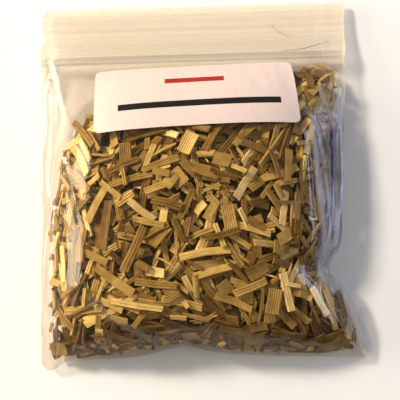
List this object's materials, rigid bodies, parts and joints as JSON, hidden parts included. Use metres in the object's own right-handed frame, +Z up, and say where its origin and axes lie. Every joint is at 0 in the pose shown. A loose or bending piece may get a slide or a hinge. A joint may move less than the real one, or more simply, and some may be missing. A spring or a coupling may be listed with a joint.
{
  "type": "zip bag of dried cut lemongrass",
  "caption": "Clear press-to-close plastic bag lying on its back, filled with dried lemongrass cut into short flat bits, with a plain white paper label.",
  "frame": {"origin": "under the middle of the bag's footprint, on the surface it lies on", "axes": "+X across the bag, +Y from the bottom fold towards the mouth, +Z up, out of the front with the label"},
  "size_m": [0.108, 0.1261, 0.0265],
  "materials": {
    "bag_film": "clear glossy film",
    "cut_lemongrass": "dry fibrous, dull",
    "label": "smooth matt"
  },
  "bodies": {
    "root": {"bag_film": "bag_film", "cut_lemongrass": "cut_lemongrass", "label": "label"}
  },
  "joints": []
}
